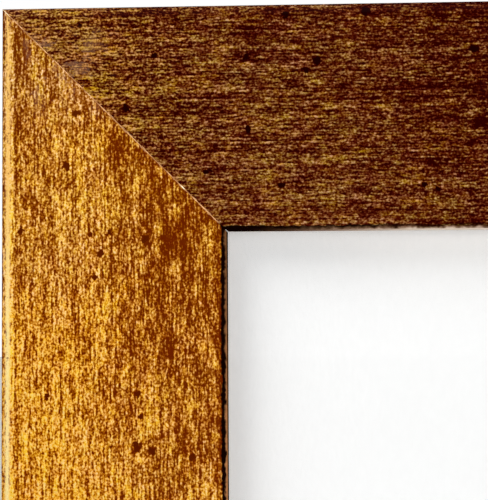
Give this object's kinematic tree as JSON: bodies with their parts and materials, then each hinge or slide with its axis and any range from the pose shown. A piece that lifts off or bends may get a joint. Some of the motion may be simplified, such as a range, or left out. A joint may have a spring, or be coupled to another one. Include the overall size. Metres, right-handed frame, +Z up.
{
  "type": "poster frame",
  "caption": "Portrait poster frame: flat gilt-mahogany wood moulding with a black sight edge, mitred and rabbeted, glazed and backed, with turn buttons and ring hangers behind.",
  "frame": {"origin": "midway between the two hanging rings' hinge lines, on the plane of the rails' back faces", "axes": "+Z up, +Y towards the wall behind, so the front of the frame looks along -Y; +X to the right as seen from the front"},
  "size_m": [0.7016, 0.0236, 1.0065],
  "materials": {
    "gilt_mahogany": "satin gilt film over dark mahogany, black-painted sight edge, bare wood back",
    "acrylic": "clear polished sheet",
    "white_card": "plain white matt card",
    "foam_board": "white paper faces on a foam core",
    "hardboard": "brown pressed fibre, mesh-marked back",
    "zinc_steel": "zinc-plated",
    "bright_steel": "zinc-plated",
    "brassed_steel": "brass-plated steel",
    "black_rubber": "matt"
  },
  "bodies": {
    "frame": {"left_rail": "gilt_mahogany", "top_rail": "gilt_mahogany", "right_rail": "gilt_mahogany", "bottom_rail": "gilt_mahogany", "v_nail_top_left_1": "bright_steel", "v_nail_top_left_2": "bright_steel", "v_nail_top_right_1": "bright_steel", "v_nail_top_right_2": "bright_steel", "v_nail_bottom_right_1": "bright_steel", "v_nail_bottom_right_2": "bright_steel", "v_nail_bottom_left_1": "bright_steel", "v_nail_bottom_left_2": "bright_steel", "glazing": "acrylic", "poster_insert": "white_card", "foam_board": "foam_board", "backing_board": "hardboard", "button_screw_1": "bright_steel", "button_screw_2": "bright_steel", "button_screw_3": "bright_steel", "button_screw_4": "bright_steel", "button_screw_5": "bright_steel", "button_screw_6": "bright_steel", "button_screw_7": "bright_steel", "button_screw_8": "bright_steel", "button_screw_9": "bright_steel", "button_screw_10": "bright_steel", "left_hanger_strap": "brassed_steel", "right_hanger_strap": "brassed_steel", "left_hanger_screw_1": "brassed_steel", "left_hanger_screw_2": "brassed_steel", "right_hanger_screw_1": "brassed_steel", "right_hanger_screw_2": "brassed_steel", "left_bumper": "black_rubber", "right_bumper": "black_rubber"},
    "button_1": {"turn_button_1": "zinc_steel"},
    "button_2": {"turn_button_2": "zinc_steel"},
    "button_3": {"turn_button_3": "zinc_steel"},
    "button_4": {"turn_button_4": "zinc_steel"},
    "button_5": {"turn_button_5": "zinc_steel"},
    "button_6": {"turn_button_6": "zinc_steel"},
    "button_7": {"turn_button_7": "zinc_steel"},
    "button_8": {"turn_button_8": "zinc_steel"},
    "button_9": {"turn_button_9": "zinc_steel"},
    "button_10": {"turn_button_10": "zinc_steel"},
    "left_ring": {"left_hanger_ring": "brassed_steel"},
    "right_ring": {"right_hanger_ring": "brassed_steel"}
  },
  "joints": [
    {"name": "turn_button_1_pivot", "type": "hinge", "parent": "frame", "child": "button_1", "pos_m": [-0.3164, 0.0009, -0.5982], "axis": [0, 1, 0], "continuous": true},
    {"name": "turn_button_2_pivot", "type": "hinge", "parent": "frame", "child": "button_2", "pos_m": [-0.3164, 0.0009, -0.2532], "axis": [0, 1, 0], "continuous": true},
    {"name": "turn_button_3_pivot", "type": "hinge", "parent": "frame", "child": "button_3", "pos_m": [-0.3164, 0.0009, 0.0918], "axis": [0, 1, 0], "continuous": true},
    {"name": "turn_button_4_pivot", "type": "hinge", "parent": "frame", "child": "button_4", "pos_m": [-0.17, 0.0009, 0.2156], "axis": [0, 1, 0], "continuous": true},
    {"name": "turn_button_5_pivot", "type": "hinge", "parent": "frame", "child": "button_5", "pos_m": [0.17, 0.0009, 0.2156], "axis": [0, 1, 0], "continuous": true},
    {"name": "turn_button_6_pivot", "type": "hinge", "parent": "frame", "child": "button_6", "pos_m": [0.3164, 0.0009, 0.0918], "axis": [0, 1, 0], "continuous": true},
    {"name": "turn_button_7_pivot", "type": "hinge", "parent": "frame", "child": "button_7", "pos_m": [0.3164, 0.0009, -0.2532], "axis": [0, 1, 0], "continuous": true},
    {"name": "turn_button_8_pivot", "type": "hinge", "parent": "frame", "child": "button_8", "pos_m": [0.3164, 0.0009, -0.5982], "axis": [0, 1, 0], "continuous": true},
    {"name": "turn_button_9_pivot", "type": "hinge", "parent": "frame", "child": "button_9", "pos_m": [0.17, 0.0009, -0.722], "axis": [0, 1, 0], "continuous": true},
    {"name": "turn_button_10_pivot", "type": "hinge", "parent": "frame", "child": "button_10", "pos_m": [-0.17, 0.0009, -0.722], "axis": [0, 1, 0], "continuous": true},
    {"name": "left_ring_swing", "type": "hinge", "parent": "frame", "child": "left_ring", "pos_m": [-0.32885, 0.0025, 0], "axis": [-1, 0, 0], "range_deg": [-5, 174]},
    {"name": "right_ring_swing", "type": "hinge", "parent": "frame", "child": "right_ring", "pos_m": [0.32885, 0.0025, 0], "axis": [-1, 0, 0], "range_deg": [-5, 174]}
  ]
}
